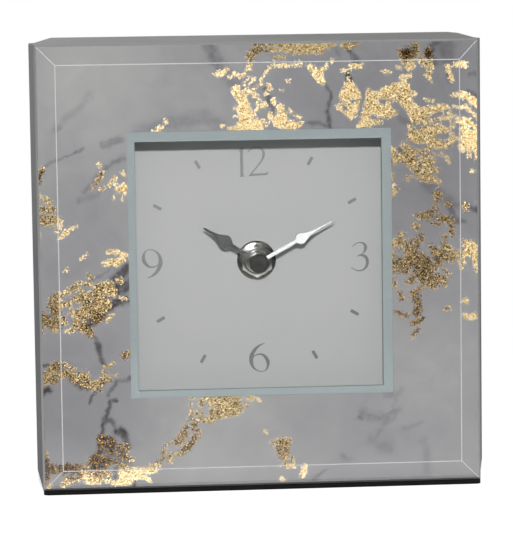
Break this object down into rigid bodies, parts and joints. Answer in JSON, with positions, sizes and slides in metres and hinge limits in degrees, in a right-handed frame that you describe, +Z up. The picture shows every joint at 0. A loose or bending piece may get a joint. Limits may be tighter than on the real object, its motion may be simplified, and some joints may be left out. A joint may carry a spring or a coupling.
{
  "type": "table clock",
  "caption": "Square table clock in bevelled glass with a grey marble and gold leaf front, a recessed dial with spade hands, and a quartz movement set from the back.",
  "frame": {"origin": "middle of the underside of the base pad", "axes": "+Z up, the dial faces -Y, +X to the right of someone reading the dial"},
  "size_m": [0.153, 0.042, 0.1535],
  "materials": {
    "front_glass": "clear polished float glass",
    "marble_print": "grey marble print with gold leaf",
    "grey_glass": "grey back-printed polished glass",
    "carcass_wood": "sawn fibreboard",
    "spacer_paint": "pale grey painted fibreboard",
    "dial_face": "matt light grey",
    "pad_rubber": "matt black foam rubber",
    "panel_black": "black painted hardboard",
    "steel_screws": "zinc plated",
    "movement_plastic": "fine moulded texture",
    "bush_brass": "turned",
    "gasket_rubber": "matt",
    "bright_metal": "polished nickel",
    "wheel_plastic": "natural acetal",
    "motor_iron": "stamped",
    "copper_wire": "enamelled copper",
    "circuit_laminate": "green solder mask",
    "chip_resin": "black resin",
    "tinned_steel": "tinned",
    "cell_jacket": "plain printed film, unmarked"
  },
  "bodies": {
    "case": {"front_glass": "front_glass", "marble_print": "marble_print", "left_glass": "grey_glass", "right_glass": "grey_glass", "top_glass": "grey_glass", "carcass_left": "carcass_wood", "carcass_right": "carcass_wood", "carcass_base": "carcass_wood", "carcass_top": "carcass_wood", "spacer_bottom": "spacer_paint", "spacer_top": "spacer_paint", "spacer_left": "spacer_paint", "spacer_right": "spacer_paint", "dial_plate": "dial_face", "base_pad": "pad_rubber", "back_panel": "panel_black", "panel_screws": "steel_screws", "movement_housing": "movement_plastic", "movement_cover": "movement_plastic", "threaded_bush": "bush_brass", "rubber_gasket": "gasket_rubber", "dial_washer": "bright_metal", "hex_nut": "bright_metal", "coil_bobbin": "wheel_plastic", "stator": "motor_iron", "coil_core": "motor_iron", "coil_winding": "copper_wire", "circuit_board": "circuit_laminate", "chip_cover": "chip_resin", "quartz_crystal": "tinned_steel", "contact_positive": "tinned_steel", "contact_negative": "tinned_steel"},
    "minute": {"minute_arbor": "bush_brass", "minute_hand": "bright_metal", "cap_nut": "bright_metal"},
    "hour": {"hour_wheel": "bush_brass", "hour_hand": "bright_metal"},
    "setting": {"minute_wheel": "wheel_plastic", "setting_knob": "movement_plastic"},
    "second": {"second_wheel": "wheel_plastic"},
    "third": {"third_wheel": "wheel_plastic"},
    "centre": {"centre_wheel": "wheel_plastic"},
    "intermediate": {"intermediate_wheel": "wheel_plastic"},
    "rotor": {"rotor_pinion": "wheel_plastic", "rotor_magnet": "motor_iron"},
    "cell": {"battery_cell": "cell_jacket"}
  },
  "joints": [
    {"name": "minute_spin", "type": "hinge", "parent": "case", "child": "minute", "pos_m": [0, 0, 0.07645], "axis": [0, 1, 0], "continuous": true},
    {"name": "hour_spin", "type": "hinge", "parent": "case", "child": "hour", "pos_m": [0, 0, 0.07645], "axis": [0, 1, 0], "continuous": true},
    {"name": "setting_spin", "type": "hinge", "parent": "case", "child": "setting", "pos_m": [0.01, 0, 0.07645], "axis": [0, 1, 0], "continuous": true},
    {"name": "second_spin", "type": "hinge", "parent": "case", "child": "second", "pos_m": [0, 0, 0.07645], "axis": [0, 1, 0], "continuous": true},
    {"name": "third_spin", "type": "hinge", "parent": "case", "child": "third", "pos_m": [0, 0, 0.08581], "axis": [0, 1, 0], "continuous": true},
    {"name": "centre_spin", "type": "hinge", "parent": "case", "child": "centre", "pos_m": [0, 0, 0.07645], "axis": [0, 1, 0], "continuous": true},
    {"name": "intermediate_spin", "type": "hinge", "parent": "case", "child": "intermediate", "pos_m": [-0.00864, 0, 0.07645], "axis": [0, 1, 0], "continuous": true},
    {"name": "rotor_spin", "type": "hinge", "parent": "case", "child": "rotor", "pos_m": [-0.01418, 0, 0.08199], "axis": [0, 1, 0], "continuous": true},
    {"name": "cell_slide", "type": "slide", "parent": "case", "child": "cell", "axis": [0, 1, 0], "range_m": [0, 0.03]}
  ],
  "couplings": [
    {"joint": "hour_spin", "follows": "minute_spin", "ratio": 0.083333},
    {"joint": "setting_spin", "follows": "minute_spin", "ratio": -0.33333},
    {"joint": "third_spin", "follows": "second_spin", "ratio": -0.13333},
    {"joint": "centre_spin", "follows": "second_spin", "ratio": 0.016667},
    {"joint": "intermediate_spin", "follows": "second_spin", "ratio": -5},
    {"joint": "rotor_spin", "follows": "second_spin", "ratio": 30}
  ]
}
